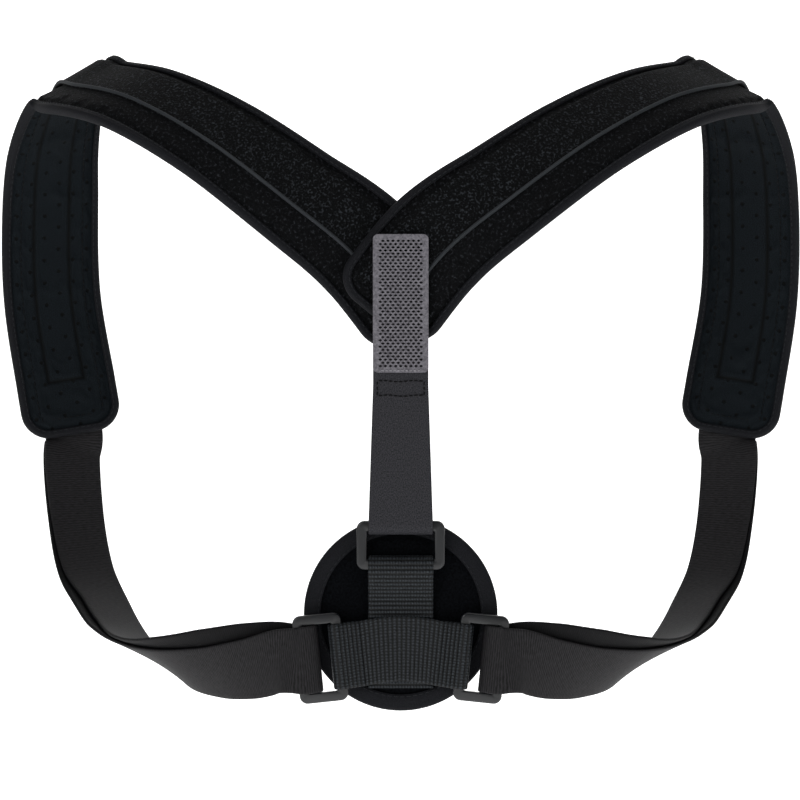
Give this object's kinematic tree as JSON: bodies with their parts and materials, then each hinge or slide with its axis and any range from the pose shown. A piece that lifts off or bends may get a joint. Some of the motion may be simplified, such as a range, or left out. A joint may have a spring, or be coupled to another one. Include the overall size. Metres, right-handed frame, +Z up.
{
  "type": "posture corrector",
  "caption": "Back brace worn over the shoulders: padded bands that cross at the back, elastic straps under the arms, and a round back pad held by webbings and buckles.",
  "frame": {"origin": "between the wearer's shoulders: on the middle plane, half way from back to front, level with the underside of the bands where they pass over the shoulders", "axes": "+X to the wearer's right, +Y from the back to the front, +Z up"},
  "size_m": [0.4438, 0.1649, 0.3407],
  "materials": {
    "shoulder_pad": "perforated dark knit over foam, sewn into channels",
    "binding": "smooth folded binding tape",
    "loop_tape": "raised plush loop tape",
    "elastic_strap": "ribbed elastic strap",
    "buckle_plastic": "moulded dark grey plastic, soft sheen",
    "smooth_strap": "smooth woven strap with a sewn hem",
    "mesh_tab": "grey honeycomb mesh with a solid selvage",
    "ribbed_webbing": "black webbing with cross ribs",
    "back_pad": "black matt knit over foam"
  },
  "bodies": {
    "root": {"left_shoulder_pad": "shoulder_pad", "left_pad_binding": "binding", "left_loop_tape": "loop_tape", "left_side_strap": "elastic_strap", "left_side_buckle": "buckle_plastic", "right_shoulder_pad": "shoulder_pad", "right_pad_binding": "binding", "right_loop_tape": "loop_tape", "right_side_strap": "elastic_strap", "right_side_buckle": "buckle_plastic", "centre_buckle": "buckle_plastic", "centre_strap": "smooth_strap", "hook_tab": "mesh_tab", "vertical_webbing": "ribbed_webbing", "cross_webbing": "ribbed_webbing", "back_pad": "back_pad", "back_pad_binding": "binding"}
  },
  "joints": []
}
